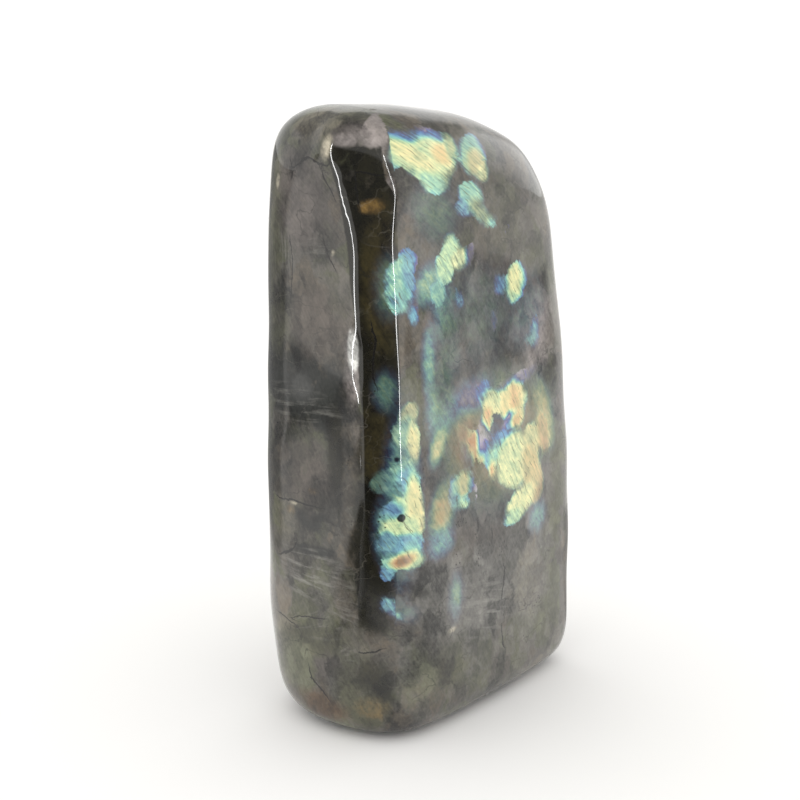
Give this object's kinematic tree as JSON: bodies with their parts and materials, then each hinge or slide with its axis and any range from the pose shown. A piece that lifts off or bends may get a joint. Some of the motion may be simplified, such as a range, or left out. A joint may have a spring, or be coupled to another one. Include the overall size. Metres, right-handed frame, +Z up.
{
  "type": "polished labradorite freeform",
  "caption": "Upright slab of polished feldspar with flat ground faces, a narrow bevel between two crisp ridges, a domed top and a flat base; displays colour flashes under light",
  "frame": {"origin": "middle of the stone's box, on the surface that it stands on", "axes": "+Z up; the wide face looks along -Y, the narrow left face along -X, and the front bevel lies between them"},
  "size_m": [0.0866, 0.0518, 0.1591],
  "materials": {
    "stone": "polished"
  },
  "bodies": {
    "root": {"stone": "stone"}
  },
  "joints": []
}
